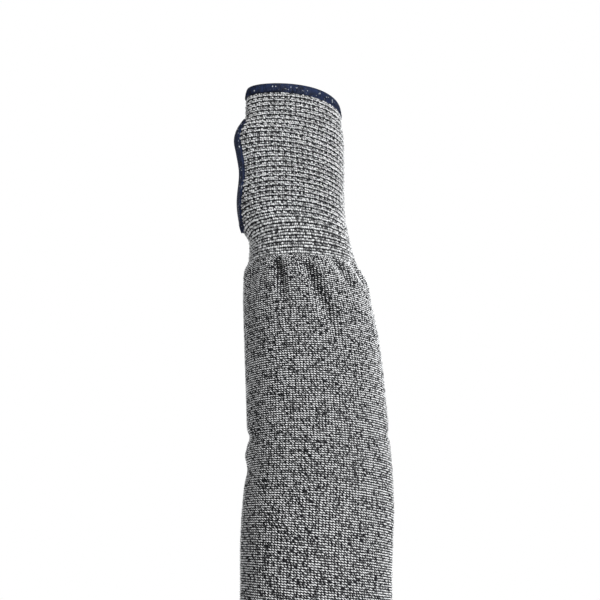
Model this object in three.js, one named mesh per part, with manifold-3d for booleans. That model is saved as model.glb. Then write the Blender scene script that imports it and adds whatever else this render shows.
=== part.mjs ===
// Cut resistant arm sleeve with a thumb slot, as it sits when worn.
// A fine knitted tube covers the forearm and is gathered into a coarser, elastic cuff over the
// wrist and the palm. Navy thread binds the hand edge, the thumb slot and the arm end.
// Millimetres. +Z runs along the arm to the hand, -Y is the back of the hand and -X the thumb's
// side. The origin is on the arm's axis at the wrist, where the two knits meet.

import * as THREE from "three";
import Module from "manifold-3d";
import { mergeVertices } from "three/addons/utils/BufferGeometryUtils.js";

// Lengths along the arm, from the wrist to each bound edge
const forearmLength = 325;
const cuffLength = 132;

// Outer sizes of the knit: width across the back of the hand, depth from the back to the palm
const armWidth = 101;
const armDepth = 90;
const wristWidth = 75;
const wristDepth = 64;
const handWidth = 69;
const handDepth = 60;

// Knit walls, and the clearance between the two knits
const forearmWall = 1.6;
const cuffWall = 1.8;
const seamGap = 0.3;

// Binding: a channel of navy thread over the knit's edge
const hemWidth = 6.8;
const hemThread = 0.9;
const hemBack = 1.3;
const hemFit = 0.35;

// Thumb slot: the opening inside its binding, its middle's height above the wrist, and how far
// behind the thumb-side outline its front edge lies, less than 0 in front of it
const slotLength = 68;
const slotWidth = 27;
const slotRise = 65;
const slotBehind = -8;
// Share of the slot's width that lies in front of its two ends
const slotFrontShare = 0.22;

// Rise and fall of the hand edge, which follows the knuckles
const edgeWave = 2;

// Gathers below the cuff, and the crease half way down the forearm
const gatherLength = 60;
const gatherDepth = 2.4;
const creaseDepth = 1.4;
const creaseWidth = 8;

// Steps round each closed ring
const cuffSteps = 46;
const forearmSteps = 46;
const slotSteps = 50;

// Sections of the cuff. at: share of its length. swell: share of the straight taper from wrist to
// hand. lean: shift to the little finger's side, as a share of the half width. turn: degrees that
// the palm's oval is turned, thumb side to the front.
const cuffSections = [
  { at: 0.0, swell: 1.045, lean: 0.065, turn: 8 },
  { at: 0.07, swell: 1.0, lean: 0.035, turn: 9 },
  { at: 0.14, swell: 0.99, lean: 0.0, turn: 11 },
  { at: 0.22, swell: 1.055, lean: -0.115, turn: 14 },
  { at: 0.32, swell: 1.08, lean: -0.175, turn: 19 },
  { at: 0.48, swell: 1.08, lean: -0.17, turn: 25 },
  { at: 0.58, swell: 1.12, lean: -0.195, turn: 29 },
  { at: 0.66, swell: 1.15, lean: -0.215, turn: 32 },
  { at: 0.73, swell: 1.125, lean: -0.18, turn: 34 },
  { at: 0.8, swell: 1.045, lean: -0.1, turn: 35 },
  { at: 0.89, swell: 1.025, lean: -0.11, turn: 36 },
  { at: 1.0, swell: 0.995, lean: -0.125, turn: 36 },
];

// Sections of the forearm tube, in the same columns, from the wrist down to the arm end
const forearmSections = [
  { at: 0.0, swell: 1.045, lean: 0.065, turn: 8 },
  { at: 0.015, swell: 1.11, lean: 0.07, turn: 8 },
  { at: 0.045, swell: 1.165, lean: 0.115, turn: 7 },
  { at: 0.075, swell: 1.185, lean: 0.135, turn: 7 },
  { at: 0.12, swell: 1.195, lean: 0.175, turn: 6 },
  { at: 0.18, swell: 1.2, lean: 0.22, turn: 5 },
  { at: 0.26, swell: 1.185, lean: 0.26, turn: 5 },
  { at: 0.35, swell: 1.165, lean: 0.295, turn: 5 },
  { at: 0.44, swell: 1.15, lean: 0.315, turn: 5 },
  { at: 0.49, swell: 1.16, lean: 0.295, turn: 5 },
  { at: 0.54, swell: 1.155, lean: 0.275, turn: 5 },
  { at: 0.6, swell: 1.13, lean: 0.25, turn: 5 },
  { at: 0.69, swell: 1.085, lean: 0.235, turn: 5 },
  { at: 1.0, swell: 1.0, lean: 0.21, turn: 5 },
];

// Gathers, anticlockwise from the little finger's side. around: degrees at the cuff. drift: degrees
// that the valley wanders on its way down. reach, depth: shares of the gather sizes. spread: half
// width in degrees.
const gathers = [
  { around: -145, drift: -5, reach: 0.45, depth: 0.5, spread: 9 },
  { around: -117, drift: 8, reach: 0.65, depth: 1.0, spread: 8 },
  { around: -89, drift: 20, reach: 1.0, depth: 1.0, spread: 8 },
  { around: -58, drift: 10, reach: 0.5, depth: 0.7, spread: 8 },
  { around: -30, drift: 6, reach: 0.4, depth: 0.5, spread: 9 },
  { around: 5, drift: -6, reach: 0.55, depth: 0.5, spread: 9 },
  { around: 38, drift: -8, reach: 0.8, depth: 0.9, spread: 9 },
  { around: 70, drift: 6, reach: 0.6, depth: 0.8, spread: 8 },
  { around: 102, drift: -6, reach: 0.9, depth: 0.9, spread: 8 },
  { around: 135, drift: 5, reach: 0.6, depth: 0.7, spread: 9 },
  { around: 170, drift: -5, reach: 0.4, depth: 0.4, spread: 9 },
];

// Creases across the forearm, about one middle. at: share of its length. around, spread: degrees.
// depth: share of the crease depth, less than 0 for a roll beside a crease.
const creaseMiddle = 0.41;
const creases = [
  { at: 0.38, around: 180, spread: 55, depth: 0.9 },
  { at: 0.418, around: 180, spread: 45, depth: -0.7 },
  { at: 0.452, around: 180, spread: 40, depth: 0.3 },
  { at: 0.372, around: 0, spread: 45, depth: 0.6 },
];

// The two knitted tubes. up: +1 where the run from the wrist goes up, -1 where it goes down.
// crowding: how much closer the steps round a ring lie at the thumb's side.
const cuff = {
  up: 1,
  crowding: 0.5,
  length: cuffLength,
  wall: cuffWall,
  widths: [wristWidth, handWidth],
  depths: [wristDepth, handDepth],
  sections: cuffSections,
};
const forearm = {
  up: -1,
  crowding: 0,
  length: forearmLength,
  wall: forearmWall,
  widths: [wristWidth, armWidth],
  depths: [wristDepth, armDepth],
  sections: forearmSections,
};

// The knit's cut edge lies inside its binding
const edgeInset = hemBack + hemFit;

const radians = THREE.MathUtils.degToRad;
const mix = THREE.MathUtils.lerp;
const ease = THREE.MathUtils.smoothstep;

// One column of a table, read smoothly at a place along it
function readColumn(rows, name, at) {
  const last = rows.length - 1;
  let low = 0;
  while (low < last - 1 && rows[low + 1].at < at) {
    low += 1;
  }
  const slope = (k) => {
    const before = rows[Math.max(k - 1, 0)];
    const after = rows[Math.min(k + 1, last)];
    return (after[name] - before[name]) / (after.at - before.at);
  };
  const from = rows[low];
  const to = rows[low + 1];
  const span = to.at - from.at;
  const s = THREE.MathUtils.clamp((at - from.at) / span, 0, 1);
  const held = from[name] * (1 + 2 * s) * (1 - s) ** 2 + to[name] * s * s * (3 - 2 * s);
  return held + span * (slope(low) * s * (1 - s) ** 2 - slope(low + 1) * s * s * (1 - s));
}

// Angle between two directions, from -180 to 180 degrees
function degreesBetween(angle, degrees) {
  const turn = THREE.MathUtils.radToDeg(angle) - degrees;
  return turn - 360 * Math.round(turn / 360);
}

// How far gathers and creases move the forearm knit outwards
function foldOut(angle, run) {
  let out = 0;
  for (const gather of gathers) {
    const s = run / (gather.reach * gatherLength);
    const away = degreesBetween(angle, gather.around + gather.drift * s) / gather.spread;
    const strength = ease(s, 0, 0.15) * (1 - ease(s, 0.3, 1));
    out -= gatherDepth * gather.depth * strength * (1 - away * away) * Math.exp((-away * away) / 1.5);
  }
  for (const crease of creases) {
    const along = (run - crease.at * forearmLength) / (creaseWidth / 2);
    const away = degreesBetween(angle, crease.around) / crease.spread;
    out -= creaseDepth * crease.depth * Math.exp(-along * along - away * away);
  }
  return out;
}

// How far the hand edge rises and falls round the hand
function edgeRise(angle, at) {
  const knuckles = Math.cos(angle - radians(300)) + Math.cos(2 * (angle - radians(320)));
  return edgeWave * knuckles * at ** 4;
}

// Half width, half depth, shift and turn of a tube's section
function sectionOf(tube, run) {
  const at = run / tube.length;
  const swell = readColumn(tube.sections, "swell", at);
  const halfTaper = mix(tube.widths[0], tube.widths[1], at) / 2;
  return {
    width: halfTaper * swell,
    depth: (mix(tube.depths[0], tube.depths[1], at) / 2) * swell,
    shift: halfTaper * readColumn(tube.sections, "lean", at),
    turn: radians(readColumn(tube.sections, "turn", at)),
  };
}

// A point of a tube's wall: angle round it, run from the wrist, and how far outside its face
function wallPoint(tube, angle, run, out) {
  const section = sectionOf(tube, run);
  const across = section.depth * Math.cos(angle + section.turn);
  const along = section.width * Math.sin(angle);
  const size = Math.hypot(across, along);
  const folded = out + (tube === forearm ? foldOut(angle, run) : 0);
  const rise = tube === cuff ? edgeRise(angle, run / tube.length) : 0;
  return new THREE.Vector3(
    section.shift + section.width * Math.cos(angle) + (folded * across) / size,
    section.depth * Math.sin(angle + section.turn) + (folded * along) / size,
    tube.up * (run + rise),
  );
}

// A closed body from vertices and triangles, with its faces turned outwards
function bodyOf(points, triangles) {
  let volume = 0;
  for (const [a, b, c] of triangles) {
    volume += points[a].dot(points[b].clone().cross(points[c]));
  }
  const outward = volume > 0 ? triangles : triangles.map(([a, b, c]) => [a, c, b]);
  const geometry = new THREE.BufferGeometry();
  geometry.setAttribute("position", new THREE.Float32BufferAttribute(points.flatMap((p) => [...p]), 3));
  geometry.setIndex(outward.flat());
  return geometry;
}

// Triangles between two closed rings of vertices, given by the number of their first vertices
function bandBetween(from, to, count) {
  const triangles = [];
  for (let j = 0; j < count; j += 1) {
    const beside = (j + 1) % count;
    triangles.push([from + j, from + beside, to + beside]);
    triangles.push([from + j, to + beside, to + j]);
  }
  return triangles;
}

// A body of closed rings, whose last ring meets its first
function ringBody(rings) {
  const count = rings[0].length;
  const bands = rings.map((_, i) => bandBetween(i * count, ((i + 1) % rings.length) * count, count));
  return bodyOf(rings.flat(), bands.flat());
}

// A body of closed rings, whose first and last rings are capped over their middles
function cappedBody(rings) {
  const count = rings[0].length;
  const points = rings.flat();
  const bands = rings.slice(1).map((_, i) => bandBetween(i * count, (i + 1) * count, count));
  const lastRing = (rings.length - 1) * count;
  const firstMiddle = points.length;
  const lastMiddle = firstMiddle + 1;
  points.push(middleOf(rings[0]), middleOf(rings[rings.length - 1]));
  const caps = [];
  for (let j = 0; j < count; j += 1) {
    const beside = (j + 1) % count;
    caps.push([beside, j, firstMiddle]);
    caps.push([lastRing + j, lastRing + beside, lastMiddle]);
  }
  return bodyOf(points, [...bands.flat(), ...caps]);
}

// Mean point of a ring
function middleOf(ring) {
  const sum = ring.reduce((total, point) => total.add(point), new THREE.Vector3());
  return sum.divideScalar(ring.length);
}

// One ring of a tube's wall, with its steps crowded towards the thumb's side as the tube asks
function wallRing(tube, steps, run, out) {
  return Array.from({ length: steps }, (_, k) => {
    const even = (2 * Math.PI * k) / steps;
    return wallPoint(tube, even + tube.crowding * Math.sin(even), run, out);
  });
}

// Places along a tube, from stretches that each have an end and a number of steps
function placesAlong(start, stretches) {
  const places = [start];
  for (const { end, steps } of stretches) {
    const from = places[places.length - 1];
    for (let k = 1; k <= steps; k += 1) {
      places.push(mix(from, end, k / steps));
    }
  }
  return places;
}

// A knitted tube: its outer face one way and its inner face back
function knitTube(tube, steps, places) {
  const outer = places.map((run) => wallRing(tube, steps, run, 0));
  const inner = places.map((run) => wallRing(tube, steps, run, -tube.wall));
  return ringBody([...outer, ...inner.reverse()]);
}

// The binding's section round the knit's edge. into: distance from the edge into the knit. out:
// distance outside the knit's outer face. The channel's faces bend once where the knit curves
// across them.
function bindingSection(wall, channelBends) {
  const lip = hemWidth - edgeInset;
  const face = hemFit + hemThread;
  const bevel = hemThread;
  const channelMiddle = (lip - hemFit) / 2;
  return [
    { into: lip, out: hemFit },
    { into: lip - bevel, out: face },
    { into: bevel - edgeInset, out: face },
    { into: -edgeInset, out: -wall / 4 },
    { into: -edgeInset, out: (-3 * wall) / 4 },
    { into: bevel - edgeInset, out: -wall - face },
    { into: lip - bevel, out: -wall - face },
    { into: lip, out: -wall - hemFit },
    ...(channelBends ? [{ into: channelMiddle, out: -wall - hemFit }] : []),
    { into: -hemFit, out: -wall - hemFit },
    { into: -hemFit, out: hemFit },
    ...(channelBends ? [{ into: channelMiddle, out: hemFit }] : []),
  ];
}

// Binding round the free edge of a tube
function edgeBinding(tube, steps) {
  const edge = tube.length - edgeInset;
  const section = bindingSection(tube.wall, false);
  return ringBody(section.map(({ into, out }) => wallRing(tube, steps, edge - into, out)));
}

// Angle of the point that lies a given way round the cuff behind the thumb-side outline
function angleBehind(run, way) {
  const section = sectionOf(cuff, run);
  const step = radians(1) * -Math.sign(way);
  let angle = Math.PI;
  let left = Math.abs(way);
  while (left > 0) {
    const middle = angle + step / 2;
    const rate = Math.hypot(
      section.width * Math.sin(middle),
      section.depth * Math.cos(middle + section.turn),
    );
    const length = rate * Math.abs(step);
    angle += step * Math.min(1, left / length);
    left -= length;
  }
  return angle;
}

// A place beside the thumb slot: phase round the slot, and distance from the knit's edge into the
// knit. The slot's ends lie near its front edge, because the thumb pushes only the palm's side
// open.
function slotPlace(phase, into) {
  const frontHalf = slotFrontShare * slotWidth;
  const halfWidth = Math.cos(phase) > 0 ? slotWidth - frontHalf : frontHalf;
  const halfLength = slotLength / 2;
  const side = new THREE.Vector2(Math.cos(phase) / halfWidth, Math.sin(phase) / halfLength);
  side.normalize().multiplyScalar(into + edgeInset);
  return {
    behind: slotBehind + frontHalf + halfWidth * Math.cos(phase) + side.x,
    run: slotRise + halfLength * Math.sin(phase) + side.y,
  };
}

// One ring beside the thumb slot, which a share under 1 draws in to the slot's middle
function slotRing(into, out, share = 1) {
  return Array.from({ length: slotSteps }, (_, k) => {
    const place = slotPlace((2 * Math.PI * k) / slotSteps, into);
    const run = mix(slotRise, place.run, share);
    const behind = mix(slotBehind + slotWidth / 2, place.behind, share);
    return wallPoint(cuff, angleBehind(run, behind), run, out);
  });
}

// The plug of knit that the thumb slot takes out, a little thicker than the wall
function slotPlug() {
  const spare = 3;
  const shares = [0.25, 0.5, 0.75, 1];
  const outer = shares.map((share) => slotRing(0, spare, share));
  const inner = shares.map((share) => slotRing(0, -cuff.wall - spare, share));
  return cappedBody([...outer, ...inner.reverse()]);
}

const wasm = await Module();
wasm.setup();

// A geometry as a solid that can be cut
function solidOf(geometry) {
  const merged = mergeVertices(geometry);
  const vertProperties = new Float32Array(merged.attributes.position.array);
  const triVerts = new Uint32Array(merged.index.array);
  return new wasm.Manifold(new wasm.Mesh({ numProp: 3, vertProperties, triVerts }));
}

// Cut one body out of another
function cutOut(body, tool) {
  const { vertProperties, triVerts } = solidOf(body).subtract(solidOf(tool)).getMesh();
  const geometry = new THREE.BufferGeometry();
  geometry.setAttribute("position", new THREE.Float32BufferAttribute(vertProperties, 3));
  geometry.setIndex([...triVerts]);
  return geometry;
}

const forearmKnit = new THREE.MeshStandardMaterial({ color: 0x75777a, roughness: 0.95, metalness: 0 });
const cuffKnit = new THREE.MeshStandardMaterial({ color: 0x848688, roughness: 0.95, metalness: 0 });
const navyThread = new THREE.MeshStandardMaterial({ color: 0x20263a, roughness: 0.8, metalness: 0 });

const sleeve = new THREE.Group();

// Add one piece of the sleeve under its name
function addPiece(name, geometry, material) {
  geometry.computeVertexNormals();
  const piece = new THREE.Mesh(geometry, material);
  piece.name = name;
  sleeve.add(piece);
}

// Rows lie closest in the gathers, round the crease, and past the two ends of the slot
const creaseRun = creaseMiddle * forearmLength;
const forearmEdge = forearmLength - edgeInset;
const forearmPlaces = placesAlong(seamGap / 2, [
  { end: gatherLength, steps: 10 },
  { end: mix(gatherLength, creaseRun, 0.78), steps: 3 },
  { end: mix(creaseRun, forearmEdge, 0.083), steps: 6 },
  { end: forearmEdge, steps: 4 },
]);
const slotLow = slotRise - slotLength / 2;
const slotHigh = slotRise + slotLength / 2;
const cuffEdge = cuffLength - edgeInset;
const cuffPlaces = placesAlong(seamGap / 2, [
  { end: mix(0, slotLow, 0.45), steps: 2 },
  { end: mix(slotLow, slotHigh, 0.05), steps: 6 },
  { end: mix(slotLow, slotHigh, 0.7), steps: 4 },
  { end: mix(slotHigh, cuffEdge, 0.22), steps: 8 },
  { end: cuffEdge, steps: 3 },
]);

addPiece("forearm_sleeve", knitTube(forearm, forearmSteps, forearmPlaces), forearmKnit);
addPiece("wrist_cuff", cutOut(knitTube(cuff, cuffSteps, cuffPlaces), slotPlug()), cuffKnit);
addPiece("hand_hem", edgeBinding(cuff, cuffSteps), navyThread);
addPiece("arm_hem", edgeBinding(forearm, forearmSteps), navyThread);

const bindingRings = bindingSection(cuffWall, true).map(({ into, out }) => slotRing(into, out));
addPiece("thumb_hem", ringBody(bindingRings), navyThread);

export default sleeve;
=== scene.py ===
import math
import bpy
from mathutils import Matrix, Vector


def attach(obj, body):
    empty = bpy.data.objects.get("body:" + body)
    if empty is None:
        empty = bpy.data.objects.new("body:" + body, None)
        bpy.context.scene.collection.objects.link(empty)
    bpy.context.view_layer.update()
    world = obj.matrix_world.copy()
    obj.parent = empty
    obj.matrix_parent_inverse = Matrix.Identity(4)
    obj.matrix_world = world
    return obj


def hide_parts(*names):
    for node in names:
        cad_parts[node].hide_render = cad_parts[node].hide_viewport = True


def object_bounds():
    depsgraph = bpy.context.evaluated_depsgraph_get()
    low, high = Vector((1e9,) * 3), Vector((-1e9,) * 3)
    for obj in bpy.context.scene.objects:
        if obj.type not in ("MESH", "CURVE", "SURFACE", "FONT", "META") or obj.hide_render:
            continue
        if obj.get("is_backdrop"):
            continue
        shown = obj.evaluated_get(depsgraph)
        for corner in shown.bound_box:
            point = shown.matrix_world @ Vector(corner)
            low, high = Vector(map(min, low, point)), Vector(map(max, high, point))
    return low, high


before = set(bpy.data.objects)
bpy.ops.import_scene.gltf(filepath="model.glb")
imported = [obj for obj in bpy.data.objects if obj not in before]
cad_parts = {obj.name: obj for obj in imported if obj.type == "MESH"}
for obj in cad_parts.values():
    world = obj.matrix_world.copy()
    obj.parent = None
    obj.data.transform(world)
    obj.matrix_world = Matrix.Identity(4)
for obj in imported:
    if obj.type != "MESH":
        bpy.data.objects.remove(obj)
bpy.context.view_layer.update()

from types import SimpleNamespace

import bpy
import numpy as np
from mathutils import Vector

bl_info = {
    "name": "Cut resistant arm sleeve",
    "version": (1, 0, 0),
    "blender": (4, 5, 0),
    "location": "3D View > Sidebar > Sleeve",
    "description": "Knitted arm sleeve with its stitches, navy bindings and a plain studio",
    "category": "Object",
}

# Z runs up the arm to the hand edge, the thumb slot is on the -X side, and -Y faces the camera.
# Runs along both tubes start at the wrist, where Z is 0.

# Sections of the cuff: share of its length, swell on the straight taper, lean to +X as a share of
# the half width, and degrees that the oval is turned
CUFF_SECTIONS = (
    (0.0, 1.045, 0.065, 8),
    (0.07, 1.0, 0.035, 9),
    (0.14, 0.99, 0.0, 11),
    (0.22, 1.055, -0.115, 14),
    (0.32, 1.08, -0.175, 19),
    (0.48, 1.08, -0.17, 25),
    (0.58, 1.12, -0.195, 29),
    (0.66, 1.15, -0.215, 32),
    (0.73, 1.125, -0.18, 34),
    (0.8, 1.045, -0.1, 35),
    (0.89, 1.025, -0.11, 36),
    (1.0, 0.995, -0.125, 36),
)

# Sections of the forearm in the same columns, from the wrist down to the arm end
FOREARM_SECTIONS = (
    (0.0, 1.045, 0.065, 8),
    (0.015, 1.11, 0.07, 8),
    (0.045, 1.165, 0.115, 7),
    (0.075, 1.185, 0.135, 7),
    (0.12, 1.195, 0.175, 6),
    (0.18, 1.2, 0.22, 5),
    (0.26, 1.185, 0.26, 5),
    (0.35, 1.165, 0.295, 5),
    (0.44, 1.15, 0.315, 5),
    (0.49, 1.16, 0.295, 5),
    (0.54, 1.155, 0.275, 5),
    (0.6, 1.13, 0.25, 5),
    (0.69, 1.085, 0.235, 5),
    (1.0, 1.0, 0.21, 5),
)

# How the courses of each knit lie: share of its length, rise on the +X side as a share of the half
# width, and lift on the -Y side in metres
CUFF_COURSES = (
    (0.0, 0.0, 0.0),
    (0.17, 0.03, 0.004),
    (0.5, 0.04, 0.003),
    (0.85, 0.03, 0.001),
    (1.0, 0.0, 0.0),
)
FOREARM_COURSES = (
    (0.0, 0.0, 0.0),
    (0.14, -0.018, 0.0008),
    (0.31, -0.02, 0.0005),
    (0.53, -0.081, 0.001),
    (0.69, -0.11, 0.0),
    (0.85, -0.09, 0.0),
    (1.0, 0.0, 0.0),
)

# The two tubes: way that the run goes along Z, name of the far end, sections and courses
TUBES = {
    "cuff": (1, "hand", CUFF_SECTIONS, CUFF_COURSES),
    "forearm": (-1, "arm", FOREARM_SECTIONS, FOREARM_COURSES),
}

# Gathers under the cuff: degrees round the wrist, drift on the way down, reach and depth as
# shares of the gather sizes, half width in degrees
GATHERS = (
    (-145, -5, 0.45, 0.5, 9),
    (-117, 8, 0.75, 1.2, 6),
    (-92, 29, 1.3, 1.3, 7),
    (-58, 10, 0.5, 0.7, 8),
    (-30, 6, 0.4, 0.5, 9),
    (5, -6, 0.55, 0.5, 9),
    (38, -8, 0.8, 0.9, 9),
    (70, 6, 0.6, 0.8, 8),
    (102, -6, 0.9, 0.9, 8),
    (135, 5, 0.6, 0.7, 9),
    (170, -5, 0.4, 0.4, 9),
)

# Creases across the forearm: share of its length, degrees round it, half width in degrees, and
# depth as a share of the crease depth
CREASES = (
    (0.38, 180, 55, 0.9),
    (0.418, 180, 45, -0.7),
    (0.452, 180, 40, 0.3),
    (0.372, 0, 45, 0.6),
)

# Sizes of one stitch in metres, and how far it may turn on its place in radians
STITCH_SIZES = ("Stitch Length", "Stitch Width", "Stitch Height", "Bend", "Looseness")
FOREARM_STITCH = (0.00258, 0.00072, 0.00045, 0.0006, 0.18)
CUFF_STITCH = (0.0018, 0.0012, 0.0005, 0.0004, 0.55)

# Share of the thumb slot's width that lies in front of its two ends
SLOT_FRONT = 0.22

# Spacing round each tube at which a stitch keeps its own length, in metres
FOREARM_SPACING = 0.0021
CUFF_SPACING = 0.0016

# Ribs of the cuff, whose even rows are crests. Heights, strays and partings are in metres.
RIB_RISE = 0.0002
PIT_DEPTH = 0.0005
# Painted shade in a sunken pit, as a share taken off the marl's lightness
PIT_PAINTED_SHADE = 0.45
HEIGHT_STRAY = 0.00025
SLIP_STRAY = 0.0006
WRIST_FULLNESS = 0.2
# Painted shade where the cuff meets the forearm at the wrist, taken off the marl's lightness
WRIST_PAINTED_SHADE = 0.09

# Pairs for a crest and a lower row: height of a stitch as a share of its own, and painted light
# added to its colour, more on a crest than on a lower row
ROW_HEIGHTS = (1.12, 1.05)
ROW_PAINTED_LIGHT = (0.1, 0.05)

# Pairs for every third wale and the others: parting of two rows, and chance of a pit between them
PARTINGS = (0.0004, 0.00012)
PIT_CHANCES = (0.75, 0.06)

# How the layers meet, in metres: the cloth's start beside the wrist, its face under the stitches,
# its end short of the arm end, and the stitches' reach under a binding's lip
WRIST_GAP = 0.00015
CLOTH_DROP = 0.0003
ARM_INSET = 0.0017
LIP_OVERLAP = 0.0004

# How the bindings are built, in metres: steps of the padding, its depth under the threads, their
# radius and how far they sink, and how much of the binding's width they leave free at the lip
PADDING_STEP = 0.0021
PADDING_INSET = 0.00035
THREAD_RADIUS = 0.00048
THREAD_SINK = 0.0004
THREAD_SETBACK = 0.0008

# Steps round a tube and levels along it in the tables of even spacing
STEPS_ROUND = 720
LEVELS = 160

# Soft lights of the studio: name, place, width, and the setting that holds the power
LIGHTS = (
    ("Key Light", (1.15, -1.15, 0.45), 0.8, "key_power"),
    ("Front Light", (-0.2, -1.7, 0.4), 1.4, "front_power"),
    ("Back Light", (-0.5, 1.9, 0.7), 1.6, "back_power"),
)


def length_property(name, description, default):
    """A length in metres that a user may change."""
    return bpy.props.FloatProperty(
        name=name, description=description, default=default, min=-0.5, max=2.0,
        subtype="DISTANCE", unit="LENGTH", precision=4,
    )


def colour_property(name, description, default):
    """A colour that a user may change."""
    return bpy.props.FloatVectorProperty(
        name=name, description=description, default=default, size=3, min=0.0, max=1.0,
        subtype="COLOR",
    )


def angle_property(name, description, degrees):
    """An angle that a user may change."""
    return bpy.props.FloatProperty(
        name=name, description=description, default=math.radians(degrees), min=-1.5, max=1.5,
        subtype="ANGLE", unit="ROTATION",
    )


def count_property(name, description, default, least, most):
    """A whole number that a user may change."""
    return bpy.props.IntProperty(
        name=name, description=description, default=default, min=least, max=most
    )


def light_property(name, description, default, **kind):
    """The strength of a light, which a user may change."""
    return bpy.props.FloatProperty(
        name=name, description=description, default=default, min=0.0, **kind
    )


def power_property(name, description, default):
    """The power of a lamp, which a user may change."""
    return light_property(name, description, default, subtype="POWER", unit="POWER")


class SleeveSizes(bpy.types.PropertyGroup):
    """Sizes of the sleeve's two tubes, folds and thumb slot."""

    forearm_length: length_property("Forearm length", "From the wrist to the arm end", 0.325)
    cuff_length: length_property("Cuff length", "From the wrist to the hand edge", 0.132)
    arm_width: length_property("Arm width", "Width at the arm end", 0.101)
    arm_depth: length_property("Arm depth", "Depth at the arm end", 0.090)
    wrist_width: length_property("Wrist width", "Width at the wrist", 0.075)
    wrist_depth: length_property("Wrist depth", "Depth at the wrist", 0.064)
    hand_width: length_property("Hand width", "Width at the hand edge", 0.069)
    hand_depth: length_property("Hand depth", "Depth at the hand edge", 0.060)
    forearm_wall: length_property("Forearm cloth", "Thickness of the forearm knit", 0.0016)
    cuff_wall: length_property("Cuff cloth", "Thickness of the cuff knit", 0.0018)
    edge_wave: length_property("Edge wave", "Rise and fall of the hand edge", 0.002)
    gather_length: length_property("Gather length", "Reach of a gather with share 1", 0.060)
    gather_depth: length_property("Gather depth", "Depth of a gather with share 1", 0.0036)
    pucker_depth: length_property("Pucker depth", "Depth of the fine puckers", 0.0002)
    crease_depth: length_property("Crease depth", "Depth of a crease with share 1", 0.002)
    crease_width: length_property("Crease width", "Width of the forearm crease", 0.008)
    slot_length: length_property("Slot length", "Length of the thumb slot", 0.068)
    slot_width: length_property("Slot width", "Width of the thumb slot", 0.027)
    slot_rise: length_property("Slot height", "Slot's middle above the wrist", 0.065)
    slot_behind: length_property(
        "Slot set-back", "Slot's front edge behind the cuff's outline", -0.008
    )


class KnitSettings(bpy.types.PropertyGroup):
    """Stitch counts and yarn colours of the two knits."""

    forearm_wales: count_property("Forearm wales", "Stitches round the forearm", 138, 20, 200)
    forearm_courses: count_property("Forearm courses", "Rows down the forearm", 208, 20, 300)
    cuff_wales: count_property("Cuff wales", "Stitches round the cuff", 150, 20, 200)
    cuff_courses: count_property("Cuff courses", "Rows up the cuff", 68, 10, 200)
    stitch_lean: angle_property("Stitch lean", "How far each stitch leans down to the right", 19)
    light_yarn: colour_property("Light yarn", "Light strand of the marl", (0.83, 0.84, 0.85))
    dark_yarn: colour_property("Dark yarn", "Dark strand of the marl", (0.012, 0.013, 0.016))
    # The ground colour is painted shade: a near-black for the shadowed yarn between the stitches
    ground: colour_property("Ground", "Shadowed yarn behind the stitches", (0.008, 0.0085, 0.01))
    seed: count_property("Marl seed", "Which marl the yarn has", 7, 0, 1000)


class BindingSettings(bpy.types.PropertyGroup):
    """Sizes and colour of the three bindings."""

    width: length_property("Width", "From the bound edge to the binding's lip", 0.008)
    thread: length_property("Build-up", "Thickness of the thread on each face", 0.0009)
    back: length_property("Edge build-up", "Thread over the cut edge", 0.0013)
    fit: length_property("Fit", "Clearance over the knit", 0.00035)
    spacing: length_property("Thread spacing", "From one wrap to the next", 0.00115)
    colour: colour_property("Thread", "Navy of the overlock thread", (0.0031, 0.0072, 0.0245))
    fleck: colour_property("Fleck", "Knit yarn that shows between the wraps", (0.35, 0.37, 0.4))


class StudioSettings(bpy.types.PropertyGroup):
    """Camera, light and floor of the studio."""

    floor_colour: colour_property("Floor", "Pale studio floor", (0.34, 0.34, 0.34))
    floor_glow: light_property("Floor glow", "Light that the floor itself gives", 0.75)
    key_power: power_property("Key light", "Soft light from the front right", 37.0)
    front_power: power_property("Front light", "Soft light from the front", 3.0)
    back_power: power_property("Back light", "Soft light from behind", 16.0)
    room_light: light_property("Room light", "Even light of the white room", 0.3)
    distance: length_property("Camera distance", "From the sleeve's axis to the camera", 0.720)
    height: length_property("Camera height", "Camera's height above the wrist", -0.224)
    lens: bpy.props.FloatProperty(
        name="Lens", description="Focal length", default=62.8, min=10.0,
        subtype="DISTANCE_CAMERA", unit="CAMERA",
    )
    pitch: angle_property("Pitch", "How far the camera looks up", 15.5)


def smooth(value, low, high):
    """Ease from 0 at low to 1 at high."""
    share = np.clip((value - low) / (high - low), 0, 1)
    return share * share * (3 - 2 * share)


def column(rows, number, at):
    """One column of a table, read smoothly at places along it."""
    places = np.array([row[0] for row in rows], float)
    values = np.array([row[number] for row in rows], float)
    last = len(rows) - 1
    before = np.maximum(np.arange(last + 1) - 1, 0)
    after = np.minimum(np.arange(last + 1) + 1, last)
    slopes = (values[after] - values[before]) / (places[after] - places[before])
    low = np.clip(np.searchsorted(places, at, side="right") - 1, 0, last - 1)
    span = places[low + 1] - places[low]
    part = np.clip((at - places[low]) / span, 0, 1)
    rest = 1 - part
    held = values[low] * (1 + 2 * part) * rest**2 + values[low + 1] * part**2 * (3 - 2 * part)
    return held + span * (slopes[low] * part * rest**2 - slopes[low + 1] * part**2 * rest)


def degrees_between(angle, degrees):
    """Angle between two directions, from -180 to 180 degrees."""
    turn = np.degrees(angle) - degrees
    return turn - 360 * np.round(turn / 360)


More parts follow.
